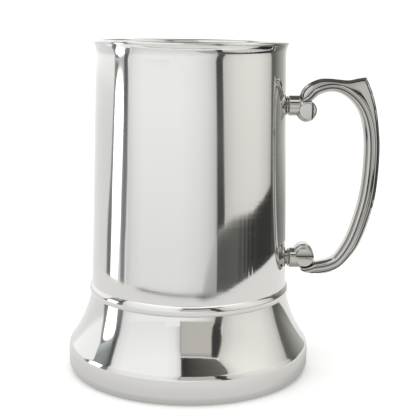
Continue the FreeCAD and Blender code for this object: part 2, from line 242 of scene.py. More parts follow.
studioCard("leftFlag",
           [(-60, -84, -75.2), (-15, -84, -75), (0, -84, -73.8), (50, -83.2, -72.8), (100, -82.5, -73.8),
            (130, -82, -74.6), (150, -82.6, -76.1), (200, -83.6, -77.6), (250, -84.8, -79.6),
            (300, -86, -80.6)],
           [(0, 150), (0.15, 100), (0.4, 82), (0.75, 84), (1.0, 160)],
           [(0, 2.4), (0.15, 2.3), (0.35, 2.1), (0.48, 1.5), (0.6, 0.95), (1, 0.9)],
           radius=near, tint=coolTint, columns=12)
studioCard("leftFlagHigh",
           [(240, -85, -77), (280, -84.8, -78), (350, -87, -79), (450, -89, -80.3), (550, -90, -82),
            (650, -92, -83), (750, -96, -87), (850, -101, -90), (1150, -110, -98)],
           [(0, 150), (0.15, 100), (0.4, 78), (0.75, 82), (1.0, 150)], even, radius=0.98,
           tint=coolTint, columns=12)
studioCard("stripRim",
           [(-80, -109, -97.5), (-15, -108.5, -97.5), (5, -107.5, -97.2), (40, -103.5, -96.5),
            (100, -99.9, -94), (122, -98.5, -92), (140, -98, -89)],
           [(0, 190), (0.25, 112), (0.75, 112), (1, 140)], [(0, 0.95), (0.3, 1.0), (0.65, 1.5), (1, 1.1)],
           radius=near * 1.01, columns=12, tint=(1, 1, 0.96))
studioCard("stripLight",
           [(-75, -101, -89), (-45, -100, -86.5), (-20, -99.2, -85), (0, -98.8, -83.7), (30, -98.5, -83),
            (60, -97.5, -82.3), (90, -96.6, -81.5), (112, -95.7, -81.7), (122, -94.6, -82.4),
            (130, -92.6, -83.6), (136, -90.4, -85.4)],
           [(0, 300), (1, 300)], [(0, 0.7), (0.3, 0.95), (0.9, 1.3), (0.96, 1.0), (1, 0.6)], radius=near,
           columns=12)
studioCard("stripShade",
           [(100, -97, -81), (148, -98.5, -82.8), (190, -99.5, -84), (260, -101, -86), (420, -106, -88)],
           [(0, 170), (0.5, 178), (1, 160)], [(0, 1.5), (0.12, 1.25), (0.26, 0.66), (0.45, 0.58), (1, 1.0)],
           radius=near * 1.02, tint=shadeTint, columns=12)
studioCard("stripShadeHigh",
           [(600, -110, -91), (800, -117, -98)], [(0, 216), (0.5, 208), (1, 190)], even, radius=0.97,
           tint=shadeTint, columns=12)
studioCard("rightWall",
           [(-200, 107.5, 168), (150, 108, 168), (400, 109, 168), (650, 104, 168), (1150, 104, 168)],
           [(0, 112), (0.06, 92), (0.14, 98), (0.25, 122), (0.4, 148), (0.6, 172), (0.8, 205), (1, 235)],
           [(0, 0.55), (0.08, 0.6), (0.15, 0.97), (1, 1)], tint=(1, 1, 0.95))
studioCard("lowFlag", [(-450, 74, 118), (-340, 87, 118), (-260, 96, 116), (-205, 104, 112)],
           [(0, 60), (0.1, 40), (0.9, 40), (1, 80)], even, radius=0.975, columns=12)
studioCard("backField", [(-700, -180, 180), (1600, -180, 180)],
           [(0, 236), (0.12, 226), (0.2, 222), (0.9, 222), (1, 236)],
           [(0, 0.84), (0.27, 0.86), (0.315, 0.92), (0.34, 1.06), (0.37, 1.14), (1, 1.1)], radius=2.4,
           columns=96)

tableSettings = {
    "top": {"radius": 6000.0, "shade": 0.92, "warmth": 0.995, "sides": 128},
    "edge": [(-180, 240), (-58, 240), (30, 238), (40, 242), (60, 262), (110, 300), (150, 300), (180, 240)],
    "levels": [(0, 120), (0.2, 150), (0.26, 196), (0.36, 209), (0.6, 214), (1, 212)],
    "line": [(-62, 237, 241), (-50, 235.5, 243), (5, 235, 243), (15, 226, 244), (26, 230, 244),
             (34, 237, 244)],
    "lineSteps": 48, "lift": 0.02}
ceilingSettings = {"height": 1600.0, "edge": [(-180, 5600), (-100, 2400), (100, 2400), (180, 5600)],
                   "levels": [(0, 96), (0.19, 84), (0.26, 110), (0.31, 236), (0.45, 262), (1, 240)]}
# the table seen in reflections is a glowing card; its levels are lower towards the middle, painted shadow
# where the foot stands
flatCard("tableGlow", tableSettings["lift"], tableSettings["edge"], tableSettings["levels"],
         tint=(1, 0.995, 0.975))


def tableLine(given):
    # the dark line along the table's edge; line holds (azimuth, inner radius, outer radius)
    start, end = given["line"][0][0], given["line"][-1][0]
    rows = []
    for border in (1, 2):
        row = []
        for step in range(given["lineSteps"] + 1):
            share = step / given["lineSteps"]
            azimuth = start + (end - start) * share
            radius = valueAt([(place[0], place[border]) for place in given["line"]], azimuth)
            row.append((azimuth, given["lift"] * 2, radius * mm, share, border - 1))
        rows.append(row)
    glowCard("tableLine", rows, [(0, 205), (0.12, 110), (0.8, 100), (1, 150)], even, (1, 1, 1))


tableLine(tableSettings)
flatCard("ceiling", ceilingSettings["height"], ceilingSettings["edge"], ceilingSettings["levels"])


def floorPart(name, given):
    mesh = bmesh.new()
    bmesh.ops.create_circle(mesh, cap_ends=True, segments=given["sides"], radius=given["radius"] * mm)
    data = bpy.data.meshes.new(name)
    mesh.to_mesh(data)
    mesh.free()
    part = bpy.data.objects.new(name, data)
    scene.collection.objects.link(part)
    material, nodes, links = newMaterial(name + "Surface")
    shader = nodes.new("ShaderNodeBsdfDiffuse")
    shade = given["shade"]
    shader.inputs["Color"].default_value = (shade, shade, shade * given["warmth"], 1)
    output = nodes.new("ShaderNodeOutputMaterial")
    links.new(shader.outputs[0], output.inputs["Surface"])
    data.materials.append(material)
    part.visible_glossy = False


floorPart("tableTop", tableSettings["top"])

airSettings = {"colour": (1, 1, 1, 1), "glow": 1.14}
world = bpy.data.worlds.new("studioAir")
scene.world = world
world.use_nodes = True
background = world.node_tree.nodes["Background"]
background.inputs["Color"].default_value = airSettings["colour"]
background.inputs["Strength"].default_value = airSettings["glow"]

# a soft box above, in metres and watts, which only lights the table
overheadSettings = {"wide": 1.6, "deep": 1.2, "power": 6.0, "place": (-0.2, -0.1, 1.4)}
overhead = bpy.data.lights.new("overheadBox", "AREA")
overhead.shape = "RECTANGLE"
overhead.size, overhead.size_y = overheadSettings["wide"], overheadSettings["deep"]
overhead.energy = overheadSettings["power"]
overheadBox = bpy.data.objects.new("overheadBox", overhead)
overheadBox.location = overheadSettings["place"]
overheadBox.visible_glossy = overheadBox.visible_camera = False
scene.collection.objects.link(overheadBox)
print("studio ready")


# brush lines, buffing clouds, broad waves and painted shade in inner corners, shared by all the metals
polishSettings = {"brushDetail": 3.0, "cloudScale": 30.0, "cloudDetail": 4.0, "cloudShade": 0.955,
                  "waveDetail": 1.0, "noiseLow": 0.12, "noiseHigh": 0.42,
                  "paintedShadeColour": (0.05, 0.048, 0.042, 1), "paintedShadeRays": 6, "paintedShadeFull": 0.30, "paintedShadeNone": 0.92,
                  "paintedShadeCover": 0.96}


def metalFinish(name, colour, roughness, spread, brush, wave, brushScale=(14, 14, 2600), waveScale=22.0,
                recess=0.0):
    # roughness and spread set the gloss; brush, wave and recess are in metres: the bumps' heights and
    # how far from an inner corner the painted shade reaches
    material, nodes, links = newMaterial(name)
    shader = nodes.new("ShaderNodeBsdfPrincipled")
    shader.inputs["Metallic"].default_value = 1.0
    place = nodes.new("ShaderNodeTexCoord")
    # fine polishing lines
    stretch = nodes.new("ShaderNodeMapping")
    stretch.inputs["Scale"].default_value = brushScale
    links.new(place.outputs["Object"], stretch.inputs["Vector"])
    lines = nodes.new("ShaderNodeTexNoise")
    lines.inputs["Scale"].default_value = 1.0
    lines.inputs["Detail"].default_value = polishSettings["brushDetail"]
    links.new(stretch.outputs[0], lines.inputs["Vector"])
    # broad hand-buffed cloudiness
    clouds = nodes.new("ShaderNodeTexNoise")
    clouds.inputs["Scale"].default_value = polishSettings["cloudScale"]
    clouds.inputs["Detail"].default_value = polishSettings["cloudDetail"]
    links.new(place.outputs["Object"], clouds.inputs["Vector"])
    mixed = nodes.new("ShaderNodeMath")
    mixed.operation = "MULTIPLY"
    links.new(lines.outputs["Fac"], mixed.inputs[0])
    links.new(clouds.outputs["Fac"], mixed.inputs[1])
    rough = nodes.new("ShaderNodeMapRange")
    rough.inputs["From Min"].default_value = polishSettings["noiseLow"]
    rough.inputs["From Max"].default_value = polishSettings["noiseHigh"]
    rough.inputs["To Min"].default_value = roughness
    rough.inputs["To Max"].default_value = roughness + spread
    links.new(mixed.outputs[0], rough.inputs["Value"])
    links.new(rough.outputs[0], shader.inputs["Roughness"])
    tone = nodes.new("ShaderNodeMix")
    tone.data_type = "RGBA"
    tone.inputs["A"].default_value = colour + (1,)
    tone.inputs["B"].default_value = tuple(c * polishSettings["cloudShade"] for c in colour) + (1,)
    links.new(clouds.outputs["Fac"], tone.inputs["Factor"])
    if recess:
        # painted shade: a dark colour fills the sharp inner corners that ambient occlusion finds, and the
        # places the recess attribute marks
        corner = nodes.new("ShaderNodeAmbientOcclusion")
        corner.samples = polishSettings["paintedShadeRays"]
        corner.inputs["Distance"].default_value = recess
        depth = nodes.new("ShaderNodeMapRange")
        depth.inputs["From Min"].default_value = polishSettings["paintedShadeFull"]
        depth.inputs["From Max"].default_value = polishSettings["paintedShadeNone"]
        links.new(corner.outputs["AO"], depth.inputs["Value"])
        paintedShade = nodes.new("ShaderNodeMix")
        paintedShade.data_type = "RGBA"
        paintedShade.inputs["A"].default_value = polishSettings["paintedShadeColour"]
        links.new(tone.outputs["Result"], paintedShade.inputs["B"])
        hollow = nodes.new("ShaderNodeAttribute")
        hollow.attribute_name = "recess"
        kept = nodes.new("ShaderNodeMath")
        kept.operation, kept.use_clamp = "MULTIPLY_ADD", True
        kept.inputs[1].default_value = -polishSettings["paintedShadeCover"]
        kept.inputs[2].default_value = 1.0
        links.new(hollow.outputs["Fac"], kept.inputs[0])
        clear = nodes.new("ShaderNodeMath")
        clear.operation = "MULTIPLY"
        links.new(kept.outputs[0], clear.inputs[0])
        links.new(depth.outputs[0], clear.inputs[1])
        links.new(clear.outputs[0], paintedShade.inputs["Factor"])
        links.new(paintedShade.outputs["Result"], shader.inputs["Base Color"])
    else:
        links.new(tone.outputs["Result"], shader.inputs["Base Color"])
    waves = nodes.new("ShaderNodeTexNoise")
    waves.inputs["Scale"].default_value = waveScale
    waves.inputs["Detail"].default_value = polishSettings["waveDetail"]
    links.new(place.outputs["Object"], waves.inputs["Vector"])
    broad = nodes.new("ShaderNodeBump")
    broad.inputs["Strength"].default_value = 1.0
    broad.inputs["Distance"].default_value = wave
    links.new(waves.outputs["Fac"], broad.inputs["Height"])
    fine = nodes.new("ShaderNodeBump")
    fine.inputs["Strength"].default_value = 1.0
    fine.inputs["Distance"].default_value = brush
    links.new(lines.outputs["Fac"], fine.inputs["Height"])
    links.new(broad.outputs[0], fine.inputs["Normal"])
    links.new(fine.outputs[0], shader.inputs["Normal"])
    output = nodes.new("ShaderNodeOutputMaterial")
    links.new(shader.outputs[0], output.inputs["Surface"])
    return material


shellMetal = metalFinish("mirrorPolishedShell", (0.72, 0.715, 0.70), 0.035, 0.05, 6e-7, 1.2e-5)
linerMetal = metalFinish("satinLiner", (0.70, 0.695, 0.68), 0.10, 0.10, 1.5e-6, 1.0e-5)
# the casting and the fittings get painted shade in their inner corners; recess gives how far it reaches
castMetal = metalFinish("polishedCasting", (0.53, 0.525, 0.505), 0.05, 0.06, 3e-7, 1.5e-5,
                        brushScale=(500, 500, 500), waveScale=120.0, recess=0.0008)
fittingMetal = metalFinish("turnedFittings", (0.52, 0.51, 0.48), 0.05, 0.05, 6e-7, 0.0,
                           brushScale=(3200, 30, 30), recess=0.0007)
hardwareMetal = metalFinish("plainHardware", (0.60, 0.59, 0.57), 0.22, 0.15, 1e-6, 0.0,
                            brushScale=(900, 900, 900))


def arcSteps(start, end, radius, turn):
    # turn is 1 for a bulge to the right of the way from start to end and -1 for one to the left
    a, b = Vector(start), Vector(end)
    chord = b - a
    left = Vector((-chord.y, chord.x)).normalized()
    reach = math.sqrt(max(radius ** 2 - (chord.length / 2) ** 2, 0))
    centre = (a + b) / 2 + left * turn * reach
    first = math.atan2(a.y - centre.y, a.x - centre.x)
    sweep = (math.atan2(b.y - centre.y, b.x - centre.x) - first + math.pi) % math.tau - math.pi
    widestStep, longestStep = math.radians(4), 0.8
    count = max(3, int(abs(sweep) / widestStep) + 1, int(abs(sweep) * radius / longestStep))
    return [(centre.x + radius * math.cos(first + sweep * k / count),
             centre.y + radius * math.sin(first + sweep * k / count)) for k in range(1, count + 1)]


def profileLine(corners, longest):
    # corners are (radius, height), or (radius, height, curve, turn) where an arc leads to the corner
    line = [tuple(corners[0][:2])]
    for corner in corners[1:]:
        before = line[-1]
        if len(corner) == 4:
            line += arcSteps(before, corner[:2], corner[2], corner[3])
            continue
        length = math.dist(before, corner)
        count = max(1, math.ceil(length / longest))
        line += [(before[0] + (corner[0] - before[0]) * k / count,
                  before[1] + (corner[1] - before[1]) * k / count) for k in range(1, count + 1)]
    return line


def latheTree():
    # turns a profile of edges round Z: a circle carries the profile as its section
    tree = bpy.data.node_groups.new("latheTurning", "GeometryNodeTree")
    face = tree.interface
    face.new_socket("Profile", in_out="INPUT", socket_type="NodeSocketGeometry")
    face.new_socket("Steps Round", in_out="INPUT", socket_type="NodeSocketInt")
    face.new_socket("Circle Radius", in_out="INPUT", socket_type="NodeSocketFloat")
    face.new_socket("Weld Distance", in_out="INPUT", socket_type="NodeSocketFloat")
    face.new_socket("Finish", in_out="INPUT", socket_type="NodeSocketMaterial")
    face.new_socket("Turned", in_out="OUTPUT", socket_type="NodeSocketGeometry")
    nodes, links = tree.nodes, tree.links
    given, made = nodes.new("NodeGroupInput"), nodes.new("NodeGroupOutput")
    outline = nodes.new("GeometryNodeMeshToCurve")
    circle = nodes.new("GeometryNodeCurvePrimitiveCircle")
    sweep = nodes.new("GeometryNodeCurveToMesh")
    weld = nodes.new("GeometryNodeMergeByDistance")
    smooth = nodes.new("GeometryNodeSetShadeSmooth")
    real = nodes.new("GeometryNodeRealizeInstances")
    paint = nodes.new("GeometryNodeSetMaterial")
    links.new(given.outputs["Profile"], outline.inputs["Mesh"])
    links.new(given.outputs["Steps Round"], circle.inputs["Resolution"])
    links.new(given.outputs["Circle Radius"], circle.inputs["Radius"])
    links.new(circle.outputs["Curve"], sweep.inputs["Curve"])
    links.new(outline.outputs["Curve"], sweep.inputs["Profile Curve"])
    links.new(sweep.outputs["Mesh"], weld.inputs["Geometry"])
    links.new(given.outputs["Weld Distance"], weld.inputs["Distance"])
    links.new(weld.outputs["Geometry"], smooth.inputs["Geometry"])
    links.new(smooth.outputs["Geometry"], real.inputs["Geometry"])
    links.new(real.outputs["Geometry"], paint.inputs["Geometry"])
    links.new(given.outputs["Finish"], paint.inputs["Material"])
    links.new(paint.outputs["Geometry"], made.inputs["Turned"])
    return tree


lathe = latheTree()


def setInputs(modifier, values):
    for item in modifier.node_group.interface.items_tree:
        if item.item_type == "SOCKET" and item.in_out == "INPUT" and item.name in values:
            modifier[item.identifier] = values[item.name]


def baked(piece):
    bpy.context.view_layer.update()
    seen = piece.evaluated_get(bpy.context.evaluated_depsgraph_get())
    data = bpy.data.meshes.new_from_object(seen)
    piece.modifiers.clear()
    piece.data = data
    return piece


weldDistance, thinnestEdge = 1e-7, 1e-8     # in metres


def finishMesh(piece, sharpAngle=28):
    mesh = bmesh.new()
    mesh.from_mesh(piece.data)
    bmesh.ops.remove_doubles(mesh, verts=mesh.verts, dist=weldDistance)
    bmesh.ops.dissolve_degenerate(mesh, edges=mesh.edges, dist=thinnestEdge)
    bmesh.ops.recalc_face_normals(mesh, faces=mesh.faces)
    mesh.to_mesh(piece.data)
    mesh.free()
    piece.data.shade_smooth()
    piece.data.set_sharp_from_angle(angle=math.radians(sharpAngle))
    return piece


def turned(name, corners, finish, steps=320, closed=True, longest=1.6):
    line = profileLine(list(corners) + ([corners[0][:2]] if closed else []), longest)
    if closed:
        line.pop()
    carrier = 30.0          # radius of the circle that carries the profile
    data = bpy.data.meshes.new(name + "Profile")
    verts = [((radius - carrier) * mm, -height * mm, 0) for radius, height in line]
    edges = [(k, k + 1) for k in range(len(line) - 1)] + ([(len(line) - 1, 0)] if closed else [])
    data.from_pydata(verts, edges, [])
    piece = bpy.data.objects.new(name, data)
    scene.collection.objects.link(piece)
    modifier = piece.modifiers.new("turning", "NODES")
    modifier.node_group = lathe
    setInputs(modifier, {"Steps Round": steps, "Circle Radius": carrier * mm, "Weld Distance": 1e-6,
                         "Finish": finish})
    return baked(piece)


def settle(piece, slot, *nodes):
    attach(piece, "root")
    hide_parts(*nodes)
    print(piece.name, len(piece.data.polygons), "faces")


def cadCorners(node):
    # the lowest and the highest corner of a CAD node, in mm
    return [[round(value / mm, 2) for value in corner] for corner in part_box(node)]


barrelHigh, cupHigh = cadCorners("outer_barrel")[1], cadCorners("inner_cup")[1]
cupLow = cadCorners("inner_cup")[0]
ringLow, ringHigh = cadCorners("waist_ring")
skirtLow, skirtHigh = cadCorners("bell_skirt")

# the sheet of the outer wall, and the seam where barrel, ring and skirt meet
sheet = {"wall": 0.7, "seamRadius": barrelHigh[0], "seam": skirtHigh[2]}

# the sheet runs straight up and then flares out to the rolled lip
barrelSettings = {"bottomRadius": sheet["seamRadius"], "topRadius": 42.8, "seam": sheet["seam"],
                  "flareStart": 146.0, "flareRadius": 43.72, "flareTop": barrelHigh[2], "flareCurve": 10.6,
                  "wall": sheet["wall"]}


def barrelCorners(given):
    return [(given["bottomRadius"], given["seam"]), (given["topRadius"], given["flareStart"]),
            (given["flareRadius"], given["flareTop"], given["flareCurve"], -1),
            (given["flareRadius"] - given["wall"], given["flareTop"]),
            (given["topRadius"] - given["wall"], given["flareStart"], given["flareCurve"] + given["wall"], 1),
            (given["bottomRadius"] - given["wall"], given["seam"])]


barrelShell = finishMesh(turned("barrelShell", barrelCorners(barrelSettings), shellMetal))
settle(barrelShell, "polished_shell", "outer_barrel")

linerSettings = {"lipRadius": cupHigh[0], "top": cupHigh[2], "bead": 1.0, "wall": 0.6,
                 "neckRadius": 40.1, "neckHeight": 144.0, "bottomRadius": 39.6, "floor": cupLow[2],
                 "corner": 8.0}


def linerCorners(given, shell):
    lip, bead, wall = given["lipRadius"], given["bead"], given["wall"]
    inner, beadHeight = given["bottomRadius"] - wall, given["top"] - bead
    return [(0, given["floor"] + wall), (inner - given["corner"], given["floor"] + wall),
            (inner, given["floor"] + wall + given["corner"], given["corner"], 1),
            (given["neckRadius"] - wall, given["neckHeight"]),
            (lip - 2 * bead, beadHeight), (lip - bead, given["top"], bead, -1),
            (lip, beadHeight, bead, -1), (shell["flareRadius"], shell["flareTop"]),
            (shell["flareRadius"] - shell["wall"], shell["flareTop"]),
            (given["neckRadius"], given["neckHeight"]),
            (given["bottomRadius"], given["floor"] + wall + given["corner"]),
            (inner - given["corner"], given["floor"], given["corner"] + wall, -1), (0, given["floor"])]


cupLiner = finishMesh(turned("cupLiner", linerCorners(linerSettings, barrelSettings), linerMetal,
                             closed=False))
settle(cupLiner, "polished_liner", "inner_cup")

waistSettings = {"radius": sheet["seamRadius"], "seam": sheet["seam"], "lowRadius": 45.83,
                 "low": ringLow[2], "highRadius": 45.31, "high": ringHigh[2], "curve": 3.8}


def waistCorners(given):
    return [(given["radius"], given["seam"]), (given["lowRadius"], given["low"]),
            (given["highRadius"], given["high"], given["curve"], 1)]


waistBand = finishMesh(turned("waistBand", waistCorners(waistSettings), shellMetal))
settle(waistBand, "polished_shell", "waist_ring")

skirtSettings = {"topRadius": sheet["seamRadius"], "top": sheet["seam"], "sweep": 57.5,
                 "edgeRadius": 55.3, "edge": 13.75, "lipRadius": skirtHigh[0], "lip": skirtLow[2],
                 "lipCurve": 3.8, "wall": sheet["wall"], "innerEdge": 13.29, "innerLean": 0.05}


def skirtCorners(given):
    wall = given["wall"]
    innerRadius = given["edgeRadius"] - wall + given["innerLean"]
    return [(given["topRadius"], given["top"]), (given["edgeRadius"], given["edge"], given["sweep"], 1),
            (given["lipRadius"], given["lip"], given["lipCurve"], -1),
            (given["lipRadius"] - wall, given["lip"]),
            (innerRadius, given["innerEdge"], given["lipCurve"] - wall, 1),
            (given["topRadius"] - wall, given["top"], given["sweep"] + wall, -1)]


bellSkirt = finishMesh(turned("bellSkirt", skirtCorners(skirtSettings), shellMetal))
settle(bellSkirt, "polished_shell", "bell_skirt")

footSettings = {"radius": 56.18, "top": skirtSettings["lip"], "widest": 10.6, "round": 4.2,
                "crown": 60.0, "crease": 5.2, "creaseIn": 0.41, "wall": sheet["wall"],
                "padRadius": 52.0, "stepOut": 40.5, "stepIn": 37.0, "stepUp": 1.2, "stepSlope": 0.5}


def footCorners(given):
    r, wall, up, slope = given["radius"], given["wall"], given["stepUp"], given["stepSlope"]
    outer, inner = given["stepOut"], given["stepIn"]
    return [(0, wall), (inner - slope, wall), (inner, wall + up), (outer, wall + up), (outer + slope, wall),
            (given["padRadius"], wall), (r - wall, given["round"], given["round"] - wall, 1),
            (r - wall, given["widest"]), (r - wall - given["creaseIn"], given["top"]),
            (r - given["creaseIn"], given["top"]), (r, given["widest"], given["crease"], -1),
            (r, given["round"], given["crown"], -1), (given["padRadius"], 0, given["round"], -1), (outer, 0),
            (outer - slope, up), (inner + slope, up), (inner, 0), (0, 0)]


footPan = finishMesh(turned("footPan", footCorners(footSettings), shellMetal, closed=False))
settle(footPan, "polished_shell", "foot_pan")
print("body turned")

# Lines across the strand, from its inner edge to its outer edge, as (across, height) pairs. In the
# settings, channel holds (share of the flat, depth, painted shade), ribWide the rib's width by line, and
# shoulder (share of the way, share of the drop).
beforeSpur = [((53.2, 124.9), (49.7, 126.2)), ((55.0, 125.4), (49.75, 128.9)), ((56.4, 126.6), (50.9, 131.2)),
              ((58.2, 128.25), (53.4, 133.5)), ((61.0, 129.35), (57.9, 135.5)),
              ((64.0, 129.85), (62.4, 135.85)), ((67.2, 129.4), (67.2, 135.45)),
              ((70.0, 128.1), (71.6, 135.2)), ((72.3, 126.4), (75.6, 136.0)), ((74.0, 124.7), (79.4, 136.6))]
afterSpur = [((74.0, 124.7), (79.4, 136.6)), ((75.6, 122.6), (81.3, 132.9)), ((77.0, 120.0), (83.2, 127.9)),
             ((78.3, 116.2), (85.0, 121.0)), ((79.4, 110.3), (86.35, 112.0)), ((79.85, 103.0), (87.0, 103.5)),
             ((79.6, 92.5), (86.8, 92.0)), ((78.6, 83.0), (85.85, 81.5)), ((76.8, 74.7), (84.0, 72.6)),
             ((74.3, 66.2), (81.2, 63.6)), ((71.4, 59.4), (77.6, 56.0)), ((67.8, 54.0), (71.9, 49.1)),
             ((64.6, 52.0), (67.0, 45.9)), ((61.5, 51.1), (62.2, 44.75)), ((59.0, 50.6), (58.3, 44.95)),
             ((57.0, 49.4), (55.4, 45.5)), ((54.6, 48.7), (53.2, 46.3)), ((52.6, 48.9), (51.9, 47.2))]
handleSettings = {"webHalf": 2.7, "ribHalf": 4.1, "bevelWide": 1.15, "bevelDrop": 1.2, "ribCrest": 0.49,
                  "facetEnd": 0.80, "facetDrop": 0.26, "shoulderDrop": 0.36, "step": 0.32, "webLean": 0.075,
                  "grooveWide": 0.34, "grooveDeep": 0.26, "edgeHalf": 0.45,
                  "channel": [(0.06, 0.4, 0), (0.24, 1.5, 0.95), (0.5, 1.7, 0.75), (0.8, 1.15, 0.4),
                              (1.0, 1.0, 0)],
                  "ribWide": [(0, 3.0), (3, 3.3), (7, 3.5), (10, 4.2), (14, 4.7), (18, 4.6), (22, 4.2),
                              (26, 3.8)],
                  "shoulder": [(0.4, 0.16), (0.75, 0.5), (1.0, 1.0)], "stepFoot": 0.2, "stepLip": 0.1,
                  "webSteps": (0.34, 0.67, 1.0), "leastWeb": 0.6, "edgeEase": 0.2, "grooveEnd": 0.06,
                  "stepMiddle": 0.45, "stepPaintedShade": 0.9, "grooveIn": 0.6, "grooveOut": 0.7,
                  "roundIn": 0.22, "roundOut": 0.06, "ribSteps": 10, "stepsPerGap": 12,
                  "bevelTries": 60, "bevelReach": 5}


def smoothRun(points, gaps):
    # Catmull-Rom through the points, every gap cut into the same number of steps
    out = []
    for k in range(len(points) - 1):
        a = points[max(k - 1, 0)]
        b, c = points[k], points[k + 1]
        d = points[min(k + 2, len(points) - 1)]
        for step in range(gaps):
            t = step / gaps
            out.append(0.5 * ((2 * b) + (c - a) * t + (2 * a - 5 * b + 4 * c - d) * t * t
                              + (3 * b - a - 3 * c + d) * t * t * t))
    out.append(points[-1])
    return out


def sectionPoints(width, rib, bevelAt, given):
    # half section from the inner edge (0, 0) round the near face to the outer edge (width, 0): a round
    # inner rib with a channel beside its crest, a step down to the leaning web, a groove and the outer
    # bevel; the third value of a point says how much painted shade its recess gets
    high, web = given["ribHalf"], given["webHalf"]
    crest, flatEnd = rib * given["ribCrest"], rib * given["facetEnd"]
    quarter = [math.pi / 2 * k / given["ribSteps"] for k in range(given["ribSteps"] + 1)]
    points = [(crest * (1 - math.cos(angle)), high * math.sin(angle), 0) for angle in quarter]
    level = high - given["facetDrop"]
    for share, drop, paintedShade in given["channel"]:
        points.append((crest + (flatEnd - crest) * share, high - given["facetDrop"] * drop, paintedShade))
    for share, drop in given["shoulder"]:
        points.append((flatEnd + (rib - flatEnd) * share, level - given["shoulderDrop"] * drop, 0))
    foot = rib + given["step"]
    middle = (level - given["shoulderDrop"] + web) / 2
    points.append((rib + given["step"] * given["stepMiddle"], middle, given["stepPaintedShade"]))
    points.append((foot, web + given["stepLip"], 1))
    start = foot + given["stepFoot"]
    points.append((start, web, 0))
    bevelAt = max(bevelAt, start + given["leastWeb"])
    width = max(width, bevelAt + given["leastWeb"])
    lean, wide = given["webLean"], given["grooveWide"]
    webEnd = web - lean * (bevelAt - wide - start)
    for share in given["webSteps"]:
        place = start + (bevelAt - wide - start) * share
        points.append((place, web - lean * (place - start), 0))
    lead = given["grooveIn"]
    points.append((bevelAt - wide * lead, webEnd - given["grooveDeep"] * lead, 1))
    points.append((bevelAt, webEnd - given["grooveDeep"], 1))
    points.append((bevelAt + wide * given["grooveOut"], webEnd - given["grooveEnd"], 0))
    bevelEnd, ease = webEnd - given["bevelDrop"], given["edgeEase"]
    points.append((width - given["roundIn"], bevelEnd + ease, 0))
    points.append((width - given["roundOut"], bevelEnd, 0))
    points.append((width, bevelEnd - ease, 0))
    points.append((width, given["edgeHalf"], 0))
    return points


def closestBorder(point, border):
    best = math.inf
    for a, b in zip(border, border[1:]):
        along = b - a
        t = max(0.0, min(1.0, (point - a).dot(along) / max(along.length_squared, 1e-9)))
        best = min(best, (a + along * t - point).length)
    return best


def strandMesh(mesh, given):
    gaps = given["stepsPerGap"]
    recess = mesh.verts.layers.float.new("recess")
    lines = []
    for run in (beforeSpur, afterSpur):
        inner = smoothRun([Vector(pair[0]) for pair in run], gaps)
        outer = smoothRun([Vector(pair[1]) for pair in run], gaps)
        lines += list(zip(inner, outer))[1 if lines else 0:]
    border = [outer for inner, outer in lines]
    rings = []
    for number, (inner, outer) in enumerate(lines):
        reach = outer - inner
        width = reach.length
        ahead = reach / width
        bevelAt = width
        reachable = border[max(0, number - given["bevelReach"] * gaps):number + given["bevelReach"] * gaps]
        for k in range(1, given["bevelTries"] + 1):
            tried = width * (1 - k / given["bevelTries"])
            if closestBorder(inner + ahead * tried, reachable) >= given["bevelWide"]:
                bevelAt = tried
                break
        half = sectionPoints(width, valueAt(given["ribWide"], number / gaps), bevelAt, given)
        front = [(q, -y, paintedShade) for q, y, paintedShade in half]
        back = [(q, y, paintedShade) for q, y, paintedShade in reversed(half[1:])]
        ring = []
        for q, y, paintedShade in front + back:
            place = inner + ahead * min(q, width)
            ring.append(mesh.verts.new((place.x * mm, y * mm, place.y * mm)))
            # each vertex keeps its amount of painted shade in the recess attribute
            ring[-1][recess] = paintedShade
        rings.append(ring)
    for one, two in zip(rings, rings[1:]):
        count = len(one)
        for k in range(count):
            mesh.faces.new((one[k], one[(k + 1) % count], two[(k + 1) % count], two[k]))
    mesh.faces.new(rings[0])
    mesh.faces.new(list(reversed(rings[-1])))


def lathed(mesh, profile, centre, axis, steps=96):
    # turns (radius, along) points round an axis through centre, for the small round parts of the handle
    turn = Vector((0, 0, 1)).rotation_difference(Vector(axis)).to_matrix()
    middle = Vector(centre)
    rings = []
    for radius, along in profile:
        if radius < 1e-6:
            rings.append([mesh.verts.new((middle + turn @ Vector((0, 0, along))) * mm)] * steps)
            continue
        ring = []
        for k in range(steps):
            angle = math.tau * k / steps
            place = middle + turn @ Vector((radius * math.cos(angle), radius * math.sin(angle), along))
            ring.append(mesh.verts.new(place * mm))
        rings.append(ring)
    for one, two in zip(rings, rings[1:]):
        for k in range(steps):
            corners = [one[k], one[(k + 1) % steps], two[(k + 1) % steps], two[k]]
            mesh.faces.new(list(dict.fromkeys(corners)))


def scrollProfile(given):
    # a flat middle, a cone that falls gently from it and a rounded rim, from the front face to the back
    crown, flatSteps, rimSteps, sideSteps = 0.03, 20, 10, 4
    half, radius = given["half"], given["radius"]
    lip = half - given["cone"] * given["coneWide"]
    rim = radius - given["flat"] - given["coneWide"]
    front = [(given["flat"] * k / flatSteps, half - crown * (k / flatSteps) ** 2)
             for k in range(flatSteps + 1)]
    front.append((given["flat"] + given["coneWide"], lip))
    for k in range(1, rimSteps + 1):
        angle = math.pi / 2 * k / rimSteps
        front.append((radius - rim + rim * math.sin(angle), lip - given["rimDrop"] * (1 - math.cos(angle))))
    side = front[-1][1]
    whole = front + [(radius, side * (1 - k / sideSteps)) for k in range(1, sideSteps)] + [(radius, 0)]
    return whole + [(r, -y) for r, y in reversed(whole[:-1])]
